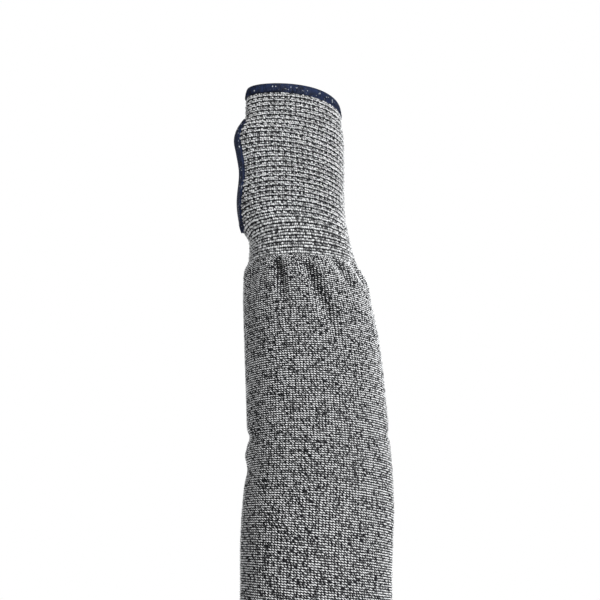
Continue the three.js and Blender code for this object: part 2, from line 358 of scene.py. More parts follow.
def fold_out(sizes, angle, run):
    """How far gathers, puckers and creases move the forearm knit outwards."""
    out = np.zeros(np.broadcast(angle, run).shape)
    for around, drift, reach, depth, spread in GATHERS:
        down = run / (reach * sizes.gather_length)
        away = degrees_between(angle, around + drift * down) / spread
        strength = smooth(down, 0, 0.15) * (1 - smooth(down, 0.3, 1))
        out -= sizes.gather_depth * depth * strength * (1 - away**2) * np.exp(-(away**2) / 1.5)
    # Two uneven sets of puckers, 37 and 53 of them round the wrist, that end 22 mm below it
    waves = np.sin(37 * angle + 2 * np.sin(3 * angle)) + 0.6 * np.sin(53 * angle + 1)
    out -= sizes.pucker_depth * waves * smooth(run, 0, 0.003) * (1 - smooth(run, 0.006, 0.022))
    for at, around, spread, depth in CREASES:
        along = (run - at * sizes.forearm_length) / (sizes.crease_width / 2)
        away = degrees_between(angle, around) / spread
        out -= sizes.crease_depth * depth * np.exp(-(along**2) - away**2)
    return out


def make_tube(sizes, part):
    """What describes one of the two knitted tubes, and the even steps round it."""
    up, end, sections, courses = TUBES[part]
    tube = SimpleNamespace(
        sizes=sizes, sections=sections, courses=courses, up=up, folds=part == "forearm",
        length=getattr(sizes, part + "_length"), wall=getattr(sizes, part + "_wall"),
        widths=(sizes.wrist_width, getattr(sizes, end + "_width")),
        depths=(sizes.wrist_depth, getattr(sizes, end + "_depth")),
    )
    tube.runs = np.linspace(-0.02 * tube.length, 1.02 * tube.length, LEVELS)
    steps = np.linspace(0, 2 * np.pi, STEPS_ROUND + 1) + np.pi / 2
    width, depth, _, turn = section(tube, tube.runs[:, None])
    middle = (steps[1:] + steps[:-1]) / 2
    pace = np.hypot(width * np.sin(middle), depth * np.cos(middle + turn)) * (steps[1] - steps[0])
    far = np.concatenate([np.zeros((LEVELS, 1)), np.cumsum(pace, axis=1)], axis=1)
    tube.girths = far[:, -1]
    even = np.linspace(0, 1, STEPS_ROUND + 1)
    tube.angles = np.array([np.interp(even, row / row[-1], steps) for row in far])
    tube.shares = far / far[:, -1:]
    return tube


def section(tube, run):
    """Half width, half depth, shift and turn of a tube's section."""
    at = run / tube.length
    taper = (tube.widths[0] + (tube.widths[1] - tube.widths[0]) * at) / 2
    deep = (tube.depths[0] + (tube.depths[1] - tube.depths[0]) * at) / 2
    swell = column(tube.sections, 1, at)
    return (
        taper * swell,
        deep * swell,
        taper * column(tube.sections, 2, at),
        np.radians(column(tube.sections, 3, at)),
    )


def between_rows(tube, table, share, run):
    """Reads a table with a row for each of the tube's runs and columns for even shares."""
    share, run = np.broadcast_arrays(np.asarray(share, float), np.asarray(run, float))
    turns = np.floor(share)
    short_of_last = LEVELS - 1.001
    level = np.clip((run - tube.runs[0]) / (tube.runs[1] - tube.runs[0]), 0, short_of_last)
    step = (share - turns) * STEPS_ROUND
    row, column_before = level.astype(int), np.minimum(step.astype(int), STEPS_ROUND - 1)
    past = step - column_before
    low, high = (
        table[at, column_before] * (1 - past) + table[at, column_before + 1] * past
        for at in (row, row + 1)
    )
    return low * (1 - (level - row)) + high * (level - row), turns


def ring_angle(tube, share, run):
    """Angle at an even share of the way round, counted from the +Y side."""
    angle, turns = between_rows(tube, tube.angles, share, run)
    return angle + 2 * np.pi * turns


def thumb_share(tube, run):
    """Share of the way round at which the cuff's -X outline lies."""
    return between_rows(tube, tube.shares, 0.25, run)[0]


def girth(tube, run):
    """Length of the way round a tube."""
    return np.interp(run, tube.runs, tube.girths)


def wall_points(tube, angle, run, out=0.0):
    """Points of a tube's wall: angle, run from the wrist, distance outside its outer face."""
    width, depth, shift, turn = section(tube, run)
    across = depth * np.cos(angle + turn)
    along = width * np.sin(angle)
    size = np.hypot(across, along)
    rise = 0
    if tube.folds:
        out = out + fold_out(tube.sizes, angle, run)
    else:
        wave = np.cos(angle - math.radians(300)) + np.cos(2 * (angle - math.radians(320)))
        rise = tube.sizes.edge_wave * wave * (run / tube.length) ** 4
    x = shift + width * np.cos(angle) + out * across / size
    y = depth * np.sin(angle + turn) + out * along / size
    return np.stack(np.broadcast_arrays(x, y, tube.up * (run + rise)), axis=-1)


def course_run(tube, row_run, share):
    """Run of a course at a share of the way round, for a course that is level at row_run."""
    at = row_run / tube.length
    width = section(tube, row_run)[0]
    angle = ring_angle(tube, share, row_run)
    rise = column(tube.courses, 1, at) * width * np.cos(angle)
    lift = -column(tube.courses, 2, at) * np.sin(angle)
    return row_run + tube.up * (rise + lift)


def knit_points(tube, share, row_run, out=0.0):
    """Points on a knit, by share of the way round and the level of their course."""
    run = course_run(tube, row_run, share)
    return wall_points(tube, ring_angle(tube, share, run), run, out)


def unit(vectors):
    """Vectors at length 1."""
    return vectors / np.maximum(np.linalg.norm(vectors, axis=-1, keepdims=True), 1e-12)


def mesh_object(name, points, faces, uvs=None):
    """A new object from vertices, faces and the knit's place of each face corner."""
    mesh = bpy.data.meshes.new(name)
    mesh.from_pydata([tuple(p) for p in points], [], [tuple(f) for f in faces])
    for layer_name, values in (uvs or {}).items():
        layer = mesh.uv_layers.new(name=layer_name)
        layer.data.foreach_set("uv", np.asarray(values, np.float32).ravel())
    mesh.validate()
    mesh.update()
    piece = bpy.data.objects.new(name, mesh)
    bpy.context.scene.collection.objects.link(piece)
    return piece


def shade_smooth(mesh):
    """Every face of a mesh shaded smooth."""
    mesh.polygons.foreach_set("use_smooth", np.ones(len(mesh.polygons), bool))
    mesh.update()


def ring_faces(rings, count, closed):
    """Faces between rings of vertices, and from the last ring to the first of a closed loop."""
    faces = []
    for i in range(rings if closed else rings - 1):
        here, there = i * count, (i + 1) % rings * count
        for k in range(count):
            beside = (k + 1) % count
            faces.append((here + k, here + beside, there + beside, there + k))
    return faces


def tube_piece(name, tube, wales, rows, end, inner_rows):
    """A closed knitted wall: its outer face, its rim, its inner face and its rim."""
    outer = np.linspace(WRIST_GAP, end, rows + 1)
    inner = np.linspace(WRIST_GAP, end, inner_rows)[::-1]
    shares = np.arange(wales) / wales
    rings = [knit_points(tube, shares, run, -CLOTH_DROP) for run in outer]
    rings += [knit_points(tube, shares, run, -tube.wall) for run in inner]
    count = len(rings)
    levels = np.concatenate([outer, inner]) * (rows / tube.length)
    ring, wale = np.meshgrid(np.arange(count), np.arange(wales), indexing="ij")
    across = wale[..., None] + np.array([0, 1, 1, 0])
    along = ring[..., None] + np.array([0, 0, 1, 1])
    piece = mesh_object(name, np.concatenate(rings), ring_faces(count, wales, True), {
        "Stitches": np.stack([across, levels[along % count]], axis=-1),
        "OFBake": np.stack([across / wales, along / count], axis=-1),
    })
    if tube.up < 0:
        piece.data.flip_normals()
    inside = piece.data.attributes.new("inside", "BOOLEAN", "FACE")
    inside.data.foreach_set("value", (ring >= rows).ravel())
    return piece


def evaluated_mesh(piece, name):
    """The mesh that an object's modifiers make, as a plain object in its stead."""
    depsgraph = bpy.context.evaluated_depsgraph_get()
    mesh = bpy.data.meshes.new_from_object(piece.evaluated_get(depsgraph))
    mesh.name = name
    made = bpy.data.objects.new(name, mesh)
    bpy.context.scene.collection.objects.link(made)
    old = piece.data
    bpy.data.objects.remove(piece)
    bpy.data.meshes.remove(old)
    # The old object may have held the name until now
    made.name = name
    return made


def set_inputs(tree, node, inputs):
    """Links a node's inputs to sockets, or sets them to values."""
    for name, value in inputs.items():
        if isinstance(value, bpy.types.NodeSocket):
            tree.links.new(value, node.inputs[name])
        else:
            node.inputs[name].default_value = value


def add_node(tree, kind, inputs=None, **settings):
    """A node with its settings, and its inputs linked or set."""
    node = tree.nodes.new(kind)
    for name, value in settings.items():
        setattr(node, name, value)
    set_inputs(tree, node, inputs or {})
    return node


def maths(tree, operation, first, second=0.0, third=0.0):
    """One sum, product or other step on numbers."""
    inputs = {0: first, 1: second, 2: third}
    return add_node(tree, "ShaderNodeMath", inputs, operation=operation).outputs[0]


def product(tree, first, *others):
    """Numbers multiplied together."""
    for other in others:
        first = maths(tree, "MULTIPLY", first, other)
    return first


def centred(tree, value, middle=0.5):
    """A number counted from a middle."""
    return maths(tree, "SUBTRACT", value, middle)


def split(tree, vector):
    """The three parts of a vector."""
    return tuple(add_node(tree, "ShaderNodeSeparateXYZ", {0: vector}).outputs)


def join(tree, x, y, z):
    """A vector from its three parts."""
    return add_node(tree, "ShaderNodeCombineXYZ", {0: x, 1: y, 2: z}).outputs[0]


def shift_vector(tree, operation, first, second=(0.0, 0.0, 0.0)):
    """One step on vectors."""
    inputs = {0: first, 1: second}
    return add_node(tree, "ShaderNodeVectorMath", inputs, operation=operation).outputs[0]


def named(tree, name):
    """A named vector of the points."""
    return add_node(
        tree, "GeometryNodeInputNamedAttribute", {"Name": name}, data_type="FLOAT_VECTOR"
    ).outputs["Attribute"]


def drawn(tree, start, low, high):
    """A vector drawn at each point between two corners."""
    return add_node(
        tree, "FunctionNodeRandomValue",
        {"Min": low, "Max": high, "Seed": start.outputs["Seed"]},
        data_type="FLOAT_VECTOR",
    ).outputs[0]


def new_tree(name, inputs):
    """A geometry tree with named inputs for its sizes, and its first and last nodes."""
    tree = bpy.data.node_groups.new(name, "GeometryNodeTree")
    face = tree.interface
    face.new_socket("Geometry", in_out="INPUT", socket_type="NodeSocketGeometry")
    face.new_socket("Geometry", in_out="OUTPUT", socket_type="NodeSocketGeometry")
    for label, kind in inputs.items():
        face.new_socket(label, in_out="INPUT", socket_type=kind)
    return tree, tree.nodes.new("NodeGroupInput"), tree.nodes.new("NodeGroupOutput")


def lay_on_points(tree, start, form, second_axis, shake, size):
    """One form on each point, turned to the wall, shaken a little and made real."""
    rounded = add_node(tree, "GeometryNodeSetShadeSmooth", {0: form})
    facing = add_node(
        tree, "FunctionNodeAxesToRotation",
        {0: named(tree, "outward"), 1: named(tree, second_axis)},
        primary_axis="Z", secondary_axis="X",
    )
    turn = add_node(tree, "FunctionNodeEulerToRotation", {0: shake})
    wobble = add_node(
        tree, "FunctionNodeRotateRotation", {0: facing.outputs[0], 1: turn.outputs[0]},
        rotation_space="LOCAL",
    )
    laid = add_node(tree, "GeometryNodeInstanceOnPoints", {
        "Points": start.outputs["Geometry"],
        "Instance": rounded.outputs[0],
        "Rotation": wobble.outputs[0],
        "Scale": size,
    })
    return add_node(tree, "GeometryNodeRealizeInstances", {0: laid.outputs[0]}).outputs[0]


def end_tree(tree, end, geometry, material):
    """Gives what a tree has made its material, and hands it out."""
    inputs = {"Geometry": geometry, "Material": material}
    coloured = add_node(tree, "GeometryNodeSetMaterial", inputs)
    tree.links.new(coloured.outputs[0], end.inputs[0])


def apply_tree(piece, tree, values, name):
    """Runs a tree on an object and keeps what it makes as a plain mesh."""
    modifier = piece.modifiers.new(tree.name, "NODES")
    modifier.node_group = tree
    for item in tree.interface.items_tree:
        if item.item_type == "SOCKET" and item.in_out == "INPUT" and item.name in values:
            modifier[item.identifier] = values[item.name]
    piece.update_tag()
    made = evaluated_mesh(piece, name)
    if len(made.data.polygons) == 0:
        raise RuntimeError(name + " came out empty")
    return made


def put_attributes(mesh, **columns):
    """Named numbers or vectors on a mesh's vertices."""
    for name, values in columns.items():
        values = np.asarray(values, np.float32)
        kind, key = ("FLOAT_VECTOR", "vector") if values.ndim == 2 else ("FLOAT", "value")
        mesh.attributes.new(name, kind, "POINT").data.foreach_set(key, values.ravel())


def drop_attributes(mesh, *names):
    """Takes away attributes that were needed on the way only."""
    for name in names:
        if name in mesh.attributes:
            mesh.attributes.remove(mesh.attributes[name])


def stitch_tree():
    """Tree that lays one leaning stitch on each point of a knit."""
    numbers = dict.fromkeys((*STITCH_SIZES, "Wales", "Courses"), "NodeSocketFloat")
    others = {"Seed": "NodeSocketInt", "Yarn": "NodeSocketMaterial"}
    tree, start, end = new_tree("Stitch Rows", numbers | others)
    given = start.outputs
    ball = add_node(tree, "GeometryNodeMeshUVSphere", {"Segments": 4, "Rings": 3, "Radius": 1.0})
    lying = add_node(
        tree, "GeometryNodeTransform",
        {"Geometry": ball.outputs["Mesh"], "Rotation": (0.0, math.pi / 2, 0.0)},
    )
    place = tree.nodes.new("GeometryNodeInputPosition").outputs[0]
    marked = add_node(
        tree, "GeometryNodeStoreNamedAttribute",
        {"Geometry": lying.outputs[0], "Name": "lay", "Value": place},
        data_type="FLOAT_VECTOR", domain="POINT",
    )
    x, y, z = split(tree, place)
    drop = product(tree, x, x, given["Bend"])
    shape = join(
        tree,
        product(tree, x, product(tree, given["Stitch Length"], 0.5)),
        product(tree, y, product(tree, given["Stitch Width"], 0.5)),
        maths(tree, "SUBTRACT", product(tree, z, given["Stitch Height"]), drop),
    )
    formed = add_node(
        tree, "GeometryNodeSetPosition", {"Geometry": marked.outputs[0], "Position": shape}
    )
    # Turns in radians, of which the last, flat on the wall, waits for the looseness
    shake = drawn(tree, start, (-0.05, -0.07, -1.0), (0.05, 0.07, 1.0))
    shake = shift_vector(tree, "MULTIPLY", shake, join(tree, 1.0, 1.0, given["Looseness"]))
    size = named(tree, "size")
    real = lay_on_points(tree, start, formed.outputs[0], "lengthwise", shake, size)
    # Each stitch gets a little less than its own cell of the bake, so that none overlap
    within = shift_vector(tree, "MULTIPLY", named(tree, "lay"), (0.46, 0.46, 0.0))
    cell = shift_vector(tree, "ADD", named(tree, "cell"), within)
    counts = join(tree, given["Wales"], given["Courses"], 1.0)
    unrolled = add_node(
        tree, "GeometryNodeStoreNamedAttribute",
        {"Geometry": real, "Name": "OFBake", "Value": shift_vector(tree, "DIVIDE", cell, counts)},
        data_type="FLOAT2", domain="CORNER",
    )
    end_tree(tree, end, unrolled.outputs[0], given["Yarn"])
    return tree


def stitch_points(tube, wales, rows, first, last, lean):
    """Places, facings and cells of the stitches from one course to another."""
    pitch = tube.length / rows
    course, wale = np.meshgrid(np.arange(first, last), np.arange(wales), indexing="ij")
    share = (wale + 0.5) / wales
    level = (course + 0.5) * pitch
    beside, above = 0.25 / wales, 0.25 * pitch
    right = unit(
        knit_points(tube, share + beside, level) - knit_points(tube, share - beside, level)
    )
    rise = knit_points(tube, share, level + above) - knit_points(tube, share, level - above)
    outward = unit(np.cross(right, rise * tube.up))
    upward = np.cross(outward, right)
    lean = np.asarray(lean)[..., None]
    return SimpleNamespace(
        course=course, wale=wale, share=share, run=course_run(tube, level, share),
        spot=knit_points(tube, share, level), outward=outward,
        lengthwise=right * np.cos(lean) - upward * np.sin(lean),
        gap=girth(tube, level) / wales,
        tall=2 * np.linalg.norm(rise, axis=-1) / pitch,
    )


def marl_values(random, wales, rows, spread):
    """How light the marl is at each stitch: single stitches, and short runs along the yarn."""
    middle, run_spread = 0.62, 0.1
    dark_chance, dark_depth = 0.05, 0.35
    fine = random.random((rows, wales))
    run = random.random((rows, wales + 1))
    run = (run[:, :-1] + run[:, 1:]) / 2
    dark = dark_depth * (random.random((rows, wales)) < dark_chance)
    return np.clip(middle + spread * (fine - 0.5) + run_spread * (run - 0.5) - dark, 0, 1)


def stitch_piece(name, tree, places, marl, size, stitch, yarn, seed, keep):
    """Joined stitches on the places that are kept."""
    carrier = mesh_object(name + "_points", places.spot[keep], [])
    rows, wales = places.wale.shape
    level = places.course - places.course.min()
    cells = np.stack([places.wale + 0.5, level + 0.5, 0 * places.wale], axis=-1)
    put_attributes(
        carrier.data, outward=places.outward[keep], lengthwise=places.lengthwise[keep],
        size=size[keep], marl=marl[keep], cell=cells[keep],
    )
    values = dict(zip(STITCH_SIZES, stitch))
    values |= {"Wales": float(wales), "Courses": float(rows), "Seed": seed, "Yarn": yarn}
    made = apply_tree(carrier, tree, values, name)
    drop_attributes(made.data, "outward", "lengthwise", "size", "cell")
    dress(made, [])


def new_material(name):
    """A material with its shader, its output and the object's own coordinates."""
    material = bpy.data.materials.new(name)
    material.use_nodes = True
    tree = material.node_tree
    tree.nodes.clear()
    shader = add_node(tree, "ShaderNodeBsdfPrincipled")
    output = add_node(tree, "ShaderNodeOutputMaterial", {"Surface": shader.outputs[0]})
    output.is_active_output = True
    return material, tree, shader, add_node(tree, "ShaderNodeTexCoord").outputs["Object"]


def finish_shader(tree, shader, colour, relief, constants):
    """Gives a shader its colour, its relief and its own values."""
    height, strength, distance = relief
    inputs = {"Height": height, "Strength": strength, "Distance": distance}
    bump = add_node(tree, "ShaderNodeBump", inputs).outputs[0]
    set_inputs(tree, shader, {"Base Color": colour, "Normal": bump} | constants)


def rgba(colour, share=1.0):
    """A colour with its alpha."""
    return (*[channel * share for channel in colour], 1.0)


def blend(tree, share, first, second):
    """A share of the second colour over the first."""
    node = tree.nodes.new("ShaderNodeMix")
    node.data_type = "RGBA"
    factor, first_colour, second_colour, result = 0, 6, 7, 2
    set_inputs(tree, node, {factor: share, first_colour: first, second_colour: second})
    return node.outputs[result]


def noise(tree, coordinates, scale, detail=2.0):
    """Soft noise of a scale given for each metre."""
    return add_node(
        tree, "ShaderNodeTexNoise", {"Vector": coordinates, "Scale": scale, "Detail": detail}
    ).outputs["Fac"]


def ramp(tree, value, low, high):
    """A number eased from 0 at low to 1 at high."""
    return add_node(
        tree, "ShaderNodeMapRange", {"Value": value, "From Min": low, "From Max": high},
        interpolation_type="SMOOTHSTEP",
    ).outputs[0]


def yarn_material(name, knit, dark_below, light_above):
    """Marl yarn: a light and a dark strand twisted together."""
    material, tree, shader, place = new_material(name)
    # On the cuff the marl also carries painted light on the rows and painted shade in the pits and
    # at the wrist
    marl = add_node(tree, "ShaderNodeAttribute", attribute_name="marl").outputs["Fac"]
    lay = add_node(tree, "ShaderNodeAttribute", attribute_name="lay").outputs["Vector"]
    along, across, _ = split(tree, lay)
    along_turn, across_turn, marl_turn = 3.0, 1.8, 23.0
    twist = maths(tree, "MULTIPLY_ADD", along, along_turn, product(tree, across, across_turn))
    strand = maths(tree, "SINE", maths(tree, "MULTIPLY_ADD", marl, marl_turn, twist))
    fuzz = noise(tree, place, 1800.0)
    mixed = maths(tree, "MULTIPLY_ADD", strand, 0.25, marl)
    mixed = maths(tree, "MULTIPLY_ADD", centred(tree, fuzz), 0.9, mixed)
    light = ramp(tree, mixed, dark_below, light_above)
    colour = blend(tree, light, rgba(knit.dark_yarn), rgba(knit.light_yarn))
    relief = maths(tree, "MULTIPLY_ADD", strand, 0.5, noise(tree, place, 4200.0, 3.0))
    finish_shader(tree, shader, colour, (relief, 0.35, 0.00025), {
        "Roughness": 0.9,
        "Specular IOR Level": 0.1,
        "Sheen Weight": 0.02,
        "Sheen Roughness": 0.5,
    })
    return material


def shade_painted_ground_material(name, knit):
    """Painted shade for the shadowed legs of the stitches, behind the rows that show."""
    material, tree, shader, place = new_material(name)
    cells = add_node(tree, "ShaderNodeUVMap", uv_map="Stitches").outputs[0]
    legs_a_stitch = 2
    wave = maths(tree, "SINE", product(tree, split(tree, cells)[0], 2 * math.pi * legs_a_stitch))
    fuzz = noise(tree, place, 1300.0)
    share = product(tree, ramp(tree, wave, 0.1, 1.0), ramp(tree, fuzz, 0.45, 0.75))
    # Painted shade: a near-black ground, with the legs a dimmed copy of the light yarn
    colour = blend(tree, share, rgba(knit.ground), rgba(knit.light_yarn, 0.22))
    relief = maths(tree, "ADD", wave, fuzz)
    finish_shader(tree, shader, colour, (relief, 0.5, 0.0003), {
        "Roughness": 0.95,
        "Specular IOR Level": 0.08,
    })
    return material


def inner_material(name, knit):
    """Inner face of the knit, where each stitch shows as a small V of marl yarn, with painted
    shade, a dimmed copy of the light yarn, between the legs.
    """
    material, tree, shader, place = new_material(name)
    cells = add_node(tree, "ShaderNodeUVMap", uv_map="Stitches").outputs[0]
    x, y, _ = split(tree, cells)
    across = maths(tree, "ABSOLUTE", centred(tree, maths(tree, "FRACT", x)))
    along = maths(tree, "FRACT", maths(tree, "ADD", y, product(tree, across, 1.3)))
    leg = maths(tree, "ABSOLUTE", centred(tree, across, 0.25))
    beside = maths(tree, "SUBTRACT", 1.0, ramp(tree, leg, 0.08, 0.25))
    below = ramp(tree, maths(tree, "ABSOLUTE", centred(tree, along)), 0.5, 0.3)
    strand = product(tree, beside, below)
    spots = add_node(
        tree, "ShaderNodeTexWhiteNoise", {"Vector": shift_vector(tree, "FLOOR", cells)},
        noise_dimensions="2D",
    ).outputs["Value"]
    marl = maths(tree, "MULTIPLY_ADD", spots, 0.35, 0.4)
    fuzz = centred(tree, noise(tree, place, 2200.0))
    marl = maths(tree, "MULTIPLY_ADD", fuzz, 0.9, marl)
    tone = blend(tree, ramp(tree, marl, 0.3, 0.8), rgba(knit.dark_yarn), rgba(knit.light_yarn))
    # Painted shade between the legs: a dimmed copy of the light yarn
    colour = blend(tree, strand, rgba(knit.light_yarn, 0.16), tone)
    finish_shader(tree, shader, colour, (strand, 0.7, 0.0004), {
        "Roughness": 0.9,
        "Specular IOR Level": 0.2,
    })
    return material


def thread_material(name, binding, flecks):
    """Navy overlock thread, with the knit's yarn showing as a few pale flecks."""
    material, tree, shader, place = new_material(name)
    soft = noise(tree, place, 320.0)
    fine = noise(tree, place, 2600.0, 3.0)
    shade = maths(tree, "MULTIPLY_ADD", fine, 0.5, product(tree, soft, 0.7))
    shade = ramp(tree, shade, 0.35, 0.8)
    colour = blend(tree, shade, rgba(binding.colour, 0.2), rgba(binding.colour, 2.2))
    spot = product(tree, ramp(tree, noise(tree, place, 520.0, 0.0), 0.7, 0.78), flecks)
    colour = blend(tree, spot, colour, rgba(binding.fleck))
    finish_shader(tree, shader, colour, (fine, 0.5, 0.0002), {
        "Roughness": 0.62,
        "Specular IOR Level": 0.18,
        "Sheen Weight": 0.015,
    })
    return material


def dress(piece, nodes):
    """Puts a finished piece on the sleeve's one body, in place of its plain solids."""
    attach(piece, "root")
    if nodes:
        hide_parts(*nodes)


def finish_cloth(cloth, part, knit):
    """Painted shade of the ground on the outer face, marl with painted shade between its legs on
    the inner one.
    """
    mesh = cloth.data
    mesh.materials.clear()
    mesh.materials.append(shade_painted_ground_material(part + " Ground Yarn", knit))
    mesh.materials.append(inner_material(part + " Inner Face", knit))
    inside = np.zeros(len(mesh.polygons), bool)
    mesh.attributes["inside"].data.foreach_get("value", inside)
    mesh.polygons.foreach_set("material_index", inside.astype(np.int32))
    drop_attributes(mesh, "inside")
    shade_smooth(mesh)


def slot_place(sizes, binding, phase, into):
    """Place beside the thumb slot: way behind the thumb-side outline, and run up the cuff."""
    front = SLOT_FRONT * sizes.slot_width
    half_width = np.where(np.cos(phase) > 0, sizes.slot_width - front, front)
    half_length = sizes.slot_length / 2
    side = unit(np.stack([np.cos(phase) / half_width, np.sin(phase) / half_length], axis=-1))
    side = side * (into + binding.back + binding.fit)
    behind = sizes.slot_behind + front + half_width * np.cos(phase) + side[..., 0]
    run = sizes.slot_rise + half_length * np.sin(phase) + side[..., 1]
    return behind, run


def slot_points(tube, binding, phase, into, out, share=1.0):
    """Points beside the thumb slot, which a share under 1 draws in to its middle."""
    sizes = tube.sizes
    behind, run = slot_place(sizes, binding, phase, into)
    run = sizes.slot_rise + (run - sizes.slot_rise) * share
    middle = sizes.slot_behind + sizes.slot_width / 2
    behind = middle + (behind - middle) * share
    around = thumb_share(tube, run) - behind / girth(tube, run)
    return wall_points(tube, ring_angle(tube, around, run), run, out)


def inside_slot(sizes, binding, behind, run, margin):
    """True for places in the thumb slot's cut or within a margin of it."""
    phase = np.linspace(0, 2 * np.pi, 361)
    edge_behind, edge_run = slot_place(sizes, binding, phase, margin)
    middle = sizes.slot_behind + sizes.slot_width / 2
    edge_angle = np.unwrap(np.arctan2(edge_run - sizes.slot_rise, edge_behind - middle))
    edge_far = np.hypot(edge_run - sizes.slot_rise, edge_behind - middle)
    order = np.argsort(edge_angle)
    angle = np.arctan2(run - sizes.slot_rise, behind - middle)
    low = edge_angle[order][0]
    angle = low + np.mod(angle - low, 2 * np.pi)
    far = np.interp(angle, edge_angle[order], edge_far[order])
    return np.hypot(run - sizes.slot_rise, behind - middle) < far


def turn_outwards(mesh):
    """Turns a closed mesh's faces outwards."""
    volume = 0.0
    points = np.array([v.co for v in mesh.vertices])
    for face in mesh.polygons:
        a, b, c = (points[i] for i in list(face.vertices)[:3])
        volume += np.dot(a, np.cross(b, c))
        if len(face.vertices) == 4:
            d = points[face.vertices[3]]
            volume += np.dot(a, np.cross(c, d))
    if volume < 0:
        mesh.flip_normals()


def cut_slot(piece, tube, binding):
    """Cuts the thumb slot through the cuff."""
    count = 96
    phase = 2 * np.pi * np.arange(count) / count
    spare = 0.003
    shares = (0.25, 0.5, 0.75, 1.0)
    sides = [(share, spare) for share in shares]
    sides += [(share, -tube.wall - spare) for share in shares[::-1]]
    rings = [slot_points(tube, binding, phase, 0.0, out, share) for share, out in sides]
    faces = ring_faces(len(rings), count, False)
    faces.append(tuple(range(count)))
    faces.append(tuple(range((len(rings) - 1) * count, len(rings) * count))[::-1])
    plug = mesh_object("slot_plug", np.concatenate(rings), faces)
    turn_outwards(plug.data)
    cut = piece.modifiers.new("Thumb slot", "BOOLEAN")
    cut.operation = "DIFFERENCE"
    cut.solver = "EXACT"
    cut.object = plug
    made = evaluated_mesh(piece, piece.name)
    bpy.data.objects.remove(plug)
    return made


def wrap_tree():
    """Tree that wraps one thread over the bound edge at each point of it."""
    tree, start, end = new_tree("Overlock Wraps", {
        "Binding Width": "NodeSocketFloat",
        "Half Thickness": "NodeSocketFloat",
        "Thread Radius": "NodeSocketFloat",
        "Seed": "NodeSocketInt",
        "Thread": "NodeSocketMaterial",
    })
    given = start.outputs
    arc = add_node(
        tree, "GeometryNodeCurveArc",
        {"Resolution": 9, "Radius": 1.0, "Start Angle": 0.0, "Sweep Angle": math.pi},
        mode="RADIUS",
    )
    x, y, _ = split(tree, tree.nodes.new("GeometryNodeInputPosition").outputs[0])
    roundness, taper, twist = 0.45, 1.6, 0.0004
    boxy = maths(tree, "POWER", maths(tree, "ABSOLUTE", x), roundness)
    boxy = product(tree, maths(tree, "SIGN", x), boxy)
    reach = maths(tree, "SUBTRACT", 1.0, maths(tree, "POWER", y, taper))
    shape = join(
        tree,
        product(tree, reach, given["Binding Width"]),
        product(tree, x, y, twist),
        product(tree, boxy, given["Half Thickness"]),
    )
    bent = add_node(
        tree, "GeometryNodeSetPosition", {"Geometry": arc.outputs["Curve"], "Position": shape}
    )
    ring = add_node(
        tree, "GeometryNodeCurvePrimitiveCircle",
        {"Resolution": 5, "Radius": given["Thread Radius"]}, mode="RADIUS",
    )
    thread = add_node(
        tree, "GeometryNodeCurveToMesh",
        {0: bent.outputs[0], "Profile Curve": ring.outputs["Curve"], "Fill Caps": True},
    )
    shake = drawn(tree, start, (-0.03, -0.02, -0.12), (0.03, 0.02, 0.0))
    size = drawn(tree, start, (0.93, 1.0, 0.95), (1.03, 1.0, 1.05))
    real = lay_on_points(tree, start, thread.outputs[0], "inwards", shake, size)
    end_tree(tree, end, real, given["Thread"])
    return tree


def band_section(binding, wall, shrink):
    """Section of a binding's padding: distance into the knit, and out of its outer face."""
    lip = binding.width - binding.back - binding.fit - shrink
    face = binding.fit + binding.thread - shrink
    top = binding.back + binding.fit - shrink
    middle = -wall / 2
    half = face + wall / 2
    steps, roundness = 16, 0.5
    turn = 2 * np.pi * np.arange(steps) / steps
    across, up = (np.sign(v) * np.abs(v) ** roundness for v in (np.cos(turn), np.sin(turn)))
    return (lip - top) / 2 + (lip + top) / 2 * across, middle + half * up


def edge_place(tube, binding, share, into, out):
    """Points of a binding on a tube's end, by share of the way round."""
    run = tube.length - binding.back - binding.fit - into
    return wall_points(tube, ring_angle(tube, share, run), run, out)


def binding_padding(name, tube, binding, place, length, ground):
    """The band under a binding's threads."""
    steps = int(round(length / PADDING_STEP))
    share = np.arange(steps) / steps
    into, out = band_section(binding, tube.wall, PADDING_INSET)
    rings = [place(share, i, o) for i, o in zip(into, out)]
    band = mesh_object(name, np.concatenate(rings), ring_faces(len(rings), steps, True))
    turn_outwards(band.data)
    shade_smooth(band.data)
    band.data.materials.append(ground)
    return band


def binding_threads(name, tube, binding, tree, place, length, thread, seed):
    """The threads of a binding, each wrapped over the edge."""
    count = int(round(length / binding.spacing))
    share = np.arange(count) / count
    half = tube.wall / 2
    inside, level, near = 0.003, 0.001, 0.002
    middle = place(share, THREAD_SINK - binding.back - binding.fit, -half)
    deep = unit(place(share, inside, -half) - middle)
    right = unit(place(share + near, level, -half) - place(share - near, level, -half))
    outward = unit(np.cross(deep, right))
    toward = place(share, near, near) - place(share, near, -near)
    outward = outward * np.sign(np.sum(outward * toward, axis=-1, keepdims=True))
    carrier = mesh_object(name + "_points", middle, [])
    put_attributes(carrier.data, outward=outward, inwards=deep)
    wraps = apply_tree(carrier, tree, {
        "Binding Width": binding.width - THREAD_SETBACK,
        "Half Thickness": half + binding.fit + binding.thread - THREAD_SINK,
        "Thread Radius": THREAD_RADIUS,
        "Seed": seed,
        "Thread": thread,
    }, name)
    drop_attributes(wraps.data, "outward", "inwards")
    return wraps


def area_light(name, place, target, size, power):
    """A soft square light that faces a point."""
    lamp = bpy.data.lights.new(name, "AREA")
    lamp.shape = "SQUARE"
    lamp.size = size
    lamp.energy = power
    holder = bpy.data.objects.new(name, lamp)
    bpy.context.scene.collection.objects.link(holder)
    holder.location = place
    way = Vector(target) - Vector(place)
    holder.rotation_euler = way.to_track_quat("-Z", "Y").to_euler()


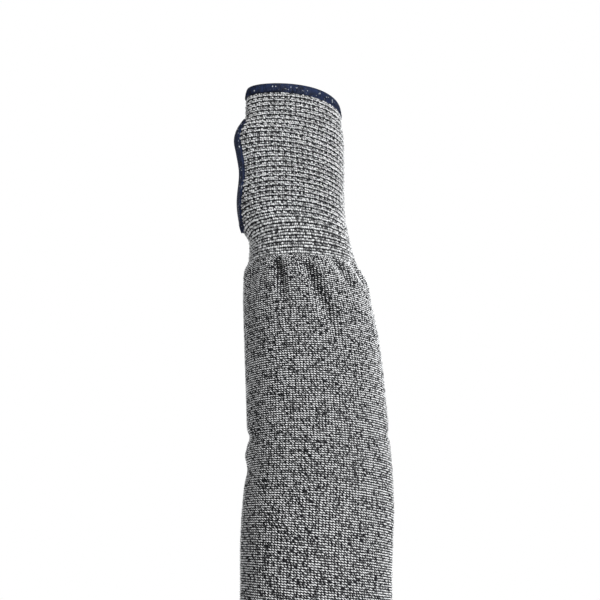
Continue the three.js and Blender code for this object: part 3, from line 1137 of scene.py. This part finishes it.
def lay_floor(studio, level):
    """Pale floor under the sleeve, which glows a little to stay white far away."""
    reach = 6.0
    corners = [(x * reach, y * reach, level) for x, y in ((-1, -1), (1, -1), (1, 1), (-1, 1))]
    floor = mesh_object("studio_floor", corners, [(0, 1, 2, 3)])
    material, tree, shader, place = new_material("Pale Floor")
    soft = noise(tree, place, 3.0)
    tone = blend(tree, soft, rgba(studio.floor_colour, 0.985), rgba(studio.floor_colour))
    set_inputs(tree, shader, {
        "Base Color": tone,
        "Roughness": 0.9,
        "Emission Color": (1.0, 1.0, 1.0, 1.0),
        "Emission Strength": studio.floor_glow,
    })
    floor.data.materials.append(material)
    floor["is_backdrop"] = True


def white_room(scene, light):
    """A world that looks white to the camera and lights the sleeve evenly."""
    world = bpy.data.worlds.new("White Room")
    scene.world = world
    world.use_nodes = True
    tree = world.node_tree
    tree.nodes.clear()
    seen = add_node(tree, "ShaderNodeLightPath").outputs["Is Camera Ray"]
    inputs = {"Value": seen, "To Min": light, "To Max": 1.0}
    strength = add_node(tree, "ShaderNodeMapRange", inputs).outputs[0]
    inputs = {"Color": (1.0, 1.0, 1.0, 1.0), "Strength": strength}
    back = add_node(tree, "ShaderNodeBackground", inputs)
    add_node(tree, "ShaderNodeOutputWorld", {"Surface": back.outputs[0]})


def form_ribs(places, random, marl):
    """Shapes the cuff's stitches into ribs, and returns how light and how big each of them is; the
    lightness is marl with painted light on the rows and painted shade in the pits and at the
    wrist.
    """
    third = places.wale % 3 == 0
    crest = places.course % 2 == 0
    pit = ~crest & (random.random(crest.shape) < np.where(third, *PIT_CHANCES))
    out = np.where(crest, RIB_RISE, 0.0) - PIT_DEPTH * pit
    out = out + HEIGHT_STRAY * (random.random(crest.shape) - 0.5)
    parting = np.where(third, *PARTINGS) * smooth(places.run, 0.0, 0.04)
    slip = SLIP_STRAY * (random.random(crest.shape) - 0.5) + np.where(crest, parting, -parting)
    upward = np.cross(places.outward, places.lengthwise)
    places.spot += places.outward * out[..., None] + upward * slip[..., None]
    # Towards the wrist the stitches are fuller and darkened by painted shade, and the painted
    # shade in the pits is fainter
    fullness = 1 + WRIST_FULLNESS - WRIST_FULLNESS * smooth(places.run, 0.0, 0.06)
    high = fullness * np.where(crest, *ROW_HEIGHTS) * (0.85 + 0.3 * random.random(crest.shape))
    wide = places.gap / CUFF_SPACING * (0.85 + 0.35 * random.random(crest.shape))
    # Painted shade in the sunken pits, fainter towards the wrist
    dark = PIT_PAINTED_SHADE * pit * (0.5 + 0.5 * smooth(places.run, 0.0, 0.05))
    # Painted shade towards the wrist, where the cuff meets the forearm
    dark = dark + WRIST_PAINTED_SHADE * (1 - smooth(places.run, 0.01, 0.05))
    # The marl, lightened by painted light on the rows and darkened by painted shade
    tone = np.clip(marl + np.where(crest, *ROW_PAINTED_LIGHT) - dark, 0, 1)
    return tone, np.stack([wide, high * places.tall, high], axis=-1)


class SLEEVE_OT_forearm(bpy.types.Operator):
    """Knit the forearm tube with its gathers, creases and rows of stitches"""

    bl_idname = "sleeve.forearm"
    bl_label = "Forearm Knit"

    def execute(self, context):
        scene = context.scene
        sizes, knit, binding = scene.sleeve_sizes, scene.sleeve_knit, scene.sleeve_binding
        tube = make_tube(sizes, "forearm")
        rows, wales = knit.forearm_courses, knit.forearm_wales
        cloth = tube_piece("forearm_knit", tube, wales, rows, tube.length - ARM_INSET, rows // 3)
        finish_cloth(cloth, "Forearm", knit)
        dress(cloth, ["forearm_sleeve"])
        random = np.random.default_rng(knit.seed)
        marl = marl_values(random, wales, rows, spread=0.63)
        slip_spread = 0.0005
        tree = stitch_tree()
        yarn = yarn_material("Forearm Marl Yarn", knit, dark_below=0.415, light_above=0.555)
        bands = 4
        for band in range(bands):
            first, last = rows * band // bands, rows * (band + 1) // bands
            places = stitch_points(tube, wales, rows, first, last, knit.stitch_lean)
            slip = slip_spread * (random.random(places.run.shape) - 0.5)
            places.spot += places.lengthwise * slip[..., None]
            gap = places.gap / FOREARM_SPACING
            stitch_piece(
                "forearm_stitches_" + str(band + 1), tree, places,
                marl[first:last], np.stack([gap, places.tall, np.ones_like(gap)], axis=-1),
                FOREARM_STITCH, yarn, knit.seed + band,
                places.run < tube.length - binding.width + LIP_OVERLAP,
            )
        return {"FINISHED"}


class SLEEVE_OT_cuff(bpy.types.Operator):
    """Knit the ribbed cuff with its thumb slot"""

    bl_idname = "sleeve.cuff"
    bl_label = "Wrist Cuff"

    def execute(self, context):
        scene = context.scene
        sizes, knit, binding = scene.sleeve_sizes, scene.sleeve_knit, scene.sleeve_binding
        tube = make_tube(sizes, "cuff")
        rows, wales = knit.cuff_courses, knit.cuff_wales
        edge = binding.back + binding.fit
        cloth = tube_piece("cuff_knit", tube, wales, rows, tube.length - edge, rows // 2)
        cloth = cut_slot(cloth, tube, binding)
        finish_cloth(cloth, "Cuff", knit)
        dress(cloth, ["wrist_cuff"])
        cuff_draw, lean_share, lean_stray = 50, 1.3, 0.7
        random = np.random.default_rng(knit.seed + cuff_draw)
        marl = marl_values(random, wales, rows, spread=0.85)
        yarn = yarn_material("Cuff Marl Yarn", knit, dark_below=-0.3, light_above=1.38)
        tree = stitch_tree()
        for half in range(2):
            first, last = rows * half // 2, rows * (half + 1) // 2
            stray = random.random((last - first, wales)) - 0.5
            lean = lean_share * knit.stitch_lean + lean_stray * stray
            places = stitch_points(tube, wales, rows, first, last, lean)
            tone, size = form_ribs(places, random, marl[first:last])
            behind = thumb_share(tube, places.run) - places.share
            behind = (behind - np.round(behind)) * girth(tube, places.run)
            margin = binding.width - edge - LIP_OVERLAP
            keep = places.run < tube.length - binding.width + LIP_OVERLAP
            keep &= ~inside_slot(sizes, binding, behind, places.run, margin)
            stitch_piece(
                "cuff_stitches_" + str(half + 1), tree, places, tone, size,
                CUFF_STITCH, yarn, knit.seed + half, keep,
            )
        return {"FINISHED"}


class SLEEVE_OT_bindings(bpy.types.Operator):
    """Bind the hand edge, the thumb slot and the arm end with navy thread"""

    bl_idname = "sleeve.bindings"
    bl_label = "Navy Bindings"

    def execute(self, context):
        scene = context.scene
        sizes, binding = scene.sleeve_sizes, scene.sleeve_binding
        cuff, forearm = make_tube(sizes, "cuff"), make_tube(sizes, "forearm")
        ground = thread_material("Binding Padding", binding, 0.0)
        thread = thread_material("Navy Overlock Thread", binding, 1.0)
        tree = wrap_tree()

        def hand(share, into, out):
            return edge_place(cuff, binding, share, into, out)

        def arm(share, into, out):
            return edge_place(forearm, binding, share, into, out)

        phases = np.linspace(0, 2 * np.pi, STEPS_ROUND + 1)
        rim = slot_points(cuff, binding, phases, 0.0, 0.0)
        far = np.concatenate([[0], np.cumsum(np.linalg.norm(np.diff(rim, axis=0), axis=1))])

        def slot(share, into, out):
            phase = np.interp(np.mod(share, 1.0) * far[-1], far, phases)
            return slot_points(cuff, binding, phase, into, out)

        bound = (
            ("hand_binding", "hand_hem", cuff, hand, girth(cuff, cuff.length)),
            ("slot_binding", "thumb_hem", cuff, slot, far[-1]),
            ("arm_binding", "arm_hem", forearm, arm, girth(forearm, forearm.length)),
        )
        for seed, (name, node, tube, place, length) in enumerate(bound, start=3):
            band = binding_padding(name, tube, binding, place, length, ground)
            dress(band, [node])
            wraps = binding_threads(
                name + "_threads", tube, binding, tree, place, length, thread, seed
            )
            dress(wraps, [])
        return {"FINISHED"}


class SLEEVE_OT_studio(bpy.types.Operator):
    """Set the pale floor, the soft light and the camera"""

    bl_idname = "sleeve.studio"
    bl_label = "Studio"

    def execute(self, context):
        scene = context.scene
        studio = scene.sleeve_studio
        floor_gap = 0.0005
        lay_floor(studio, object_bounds()[0].z - floor_gap)
        target = (0.01, 0.0, -0.06)
        for name, place, size, power in LIGHTS:
            area_light(name, place, target, size, getattr(studio, power))
        white_room(scene, studio.room_light)
        lens = bpy.data.cameras.new("Photo Camera")
        lens.lens = studio.lens
        lens.sensor_width = 36.0
        camera = bpy.data.objects.new("Photo Camera", lens)
        scene.collection.objects.link(camera)
        camera.location = (0.0, -studio.distance, studio.height)
        camera.rotation_euler = (math.pi / 2 + studio.pitch, 0.0, 0.0)
        scene.camera = camera
        scene.view_settings.view_transform = "Standard"
        scene.view_settings.look = "None"
        return {"FINISHED"}


class SLEEVE_PT_panel(bpy.types.Panel):
    """Sizes, yarns and steps of the sleeve"""

    bl_idname = "SLEEVE_PT_panel"
    bl_label = "Arm Sleeve"
    bl_space_type = "VIEW_3D"
    bl_region_type = "UI"
    bl_category = "Sleeve"

    def draw(self, context):
        scene = context.scene
        for title, group, operators in (
            ("Shape", scene.sleeve_sizes, ()),
            ("Knit", scene.sleeve_knit, ("sleeve.forearm", "sleeve.cuff")),
            ("Bindings", scene.sleeve_binding, ("sleeve.bindings",)),
            ("Studio", scene.sleeve_studio, ("sleeve.studio",)),
        ):
            box = self.layout.box()
            box.label(text=title)
            for name in group.__annotations__:
                box.prop(group, name)
            for operator in operators:
                box.operator(operator)


CLASSES = (
    SleeveSizes,
    KnitSettings,
    BindingSettings,
    StudioSettings,
    SLEEVE_OT_forearm,
    SLEEVE_OT_cuff,
    SLEEVE_OT_bindings,
    SLEEVE_OT_studio,
    SLEEVE_PT_panel,
)
GROUPS = {
    "sleeve_sizes": SleeveSizes,
    "sleeve_knit": KnitSettings,
    "sleeve_binding": BindingSettings,
    "sleeve_studio": StudioSettings,
}


def register():
    """Adds the classes and the scene's settings."""
    for kind in CLASSES:
        bpy.utils.register_class(kind)
    for name, kind in GROUPS.items():
        setattr(bpy.types.Scene, name, bpy.props.PointerProperty(type=kind))


def unregister():
    """Takes the settings and the classes away."""
    for name in GROUPS:
        delattr(bpy.types.Scene, name)
    for kind in reversed(CLASSES):
        bpy.utils.unregister_class(kind)


def main():
    """Makes the sleeve and its studio."""
    register()
    bpy.ops.sleeve.forearm()
    bpy.ops.sleeve.cuff()
    bpy.ops.sleeve.bindings()
    bpy.ops.sleeve.studio()


if __name__ == "__main__":
    main()
